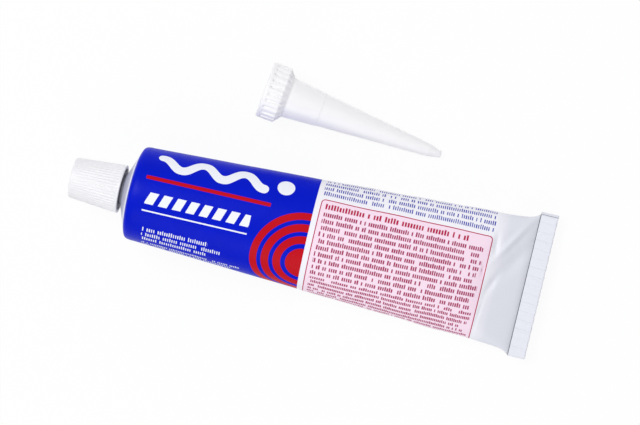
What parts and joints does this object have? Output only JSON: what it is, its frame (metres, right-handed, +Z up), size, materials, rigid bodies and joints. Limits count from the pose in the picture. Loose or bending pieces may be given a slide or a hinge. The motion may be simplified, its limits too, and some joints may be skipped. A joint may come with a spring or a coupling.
{
  "type": "sealant tube",
  "caption": "Collapsible metal tube of sealant with a folded, crimped tail and a ribbed screw cap, lying beside its loose conical applicator nozzle.",
  "frame": {"origin": "middle of the underside of everything together, on the surface that the tube and the nozzle lie on", "axes": "+X from the screw cap to the folded tail, +Y across the tube towards the loose nozzle, +Z up through the printed side"},
  "size_m": [0.1618, 0.0776, 0.0321],
  "materials": {
    "tube_lacquer": "satin",
    "cap_plastic": "satin",
    "liner_foam": "matte",
    "nozzle_plastic": "satin"
  },
  "bodies": {
    "tube": {"tube_body": "tube_lacquer", "nozzle": "nozzle_plastic"},
    "liner": {"cap_liner": "liner_foam"},
    "cap": {"screw_cap": "cap_plastic"}
  },
  "joints": [
    {"name": "cap_lift", "type": "slide", "parent": "tube", "child": "liner", "axis": [-0.9988, 0, 0.0484], "range_m": [0, 0.01]},
    {"name": "cap_turn", "type": "hinge", "parent": "liner", "child": "cap", "pos_m": [-0.05858, -0.01438, 0.01615], "axis": [-0.9988, 0, 0.0484], "range_deg": [0, 1440]}
  ],
  "couplings": [
    {"joint": "cap_turn", "follows": "cap_lift", "rad_per_m": 2513.3}
  ]
}
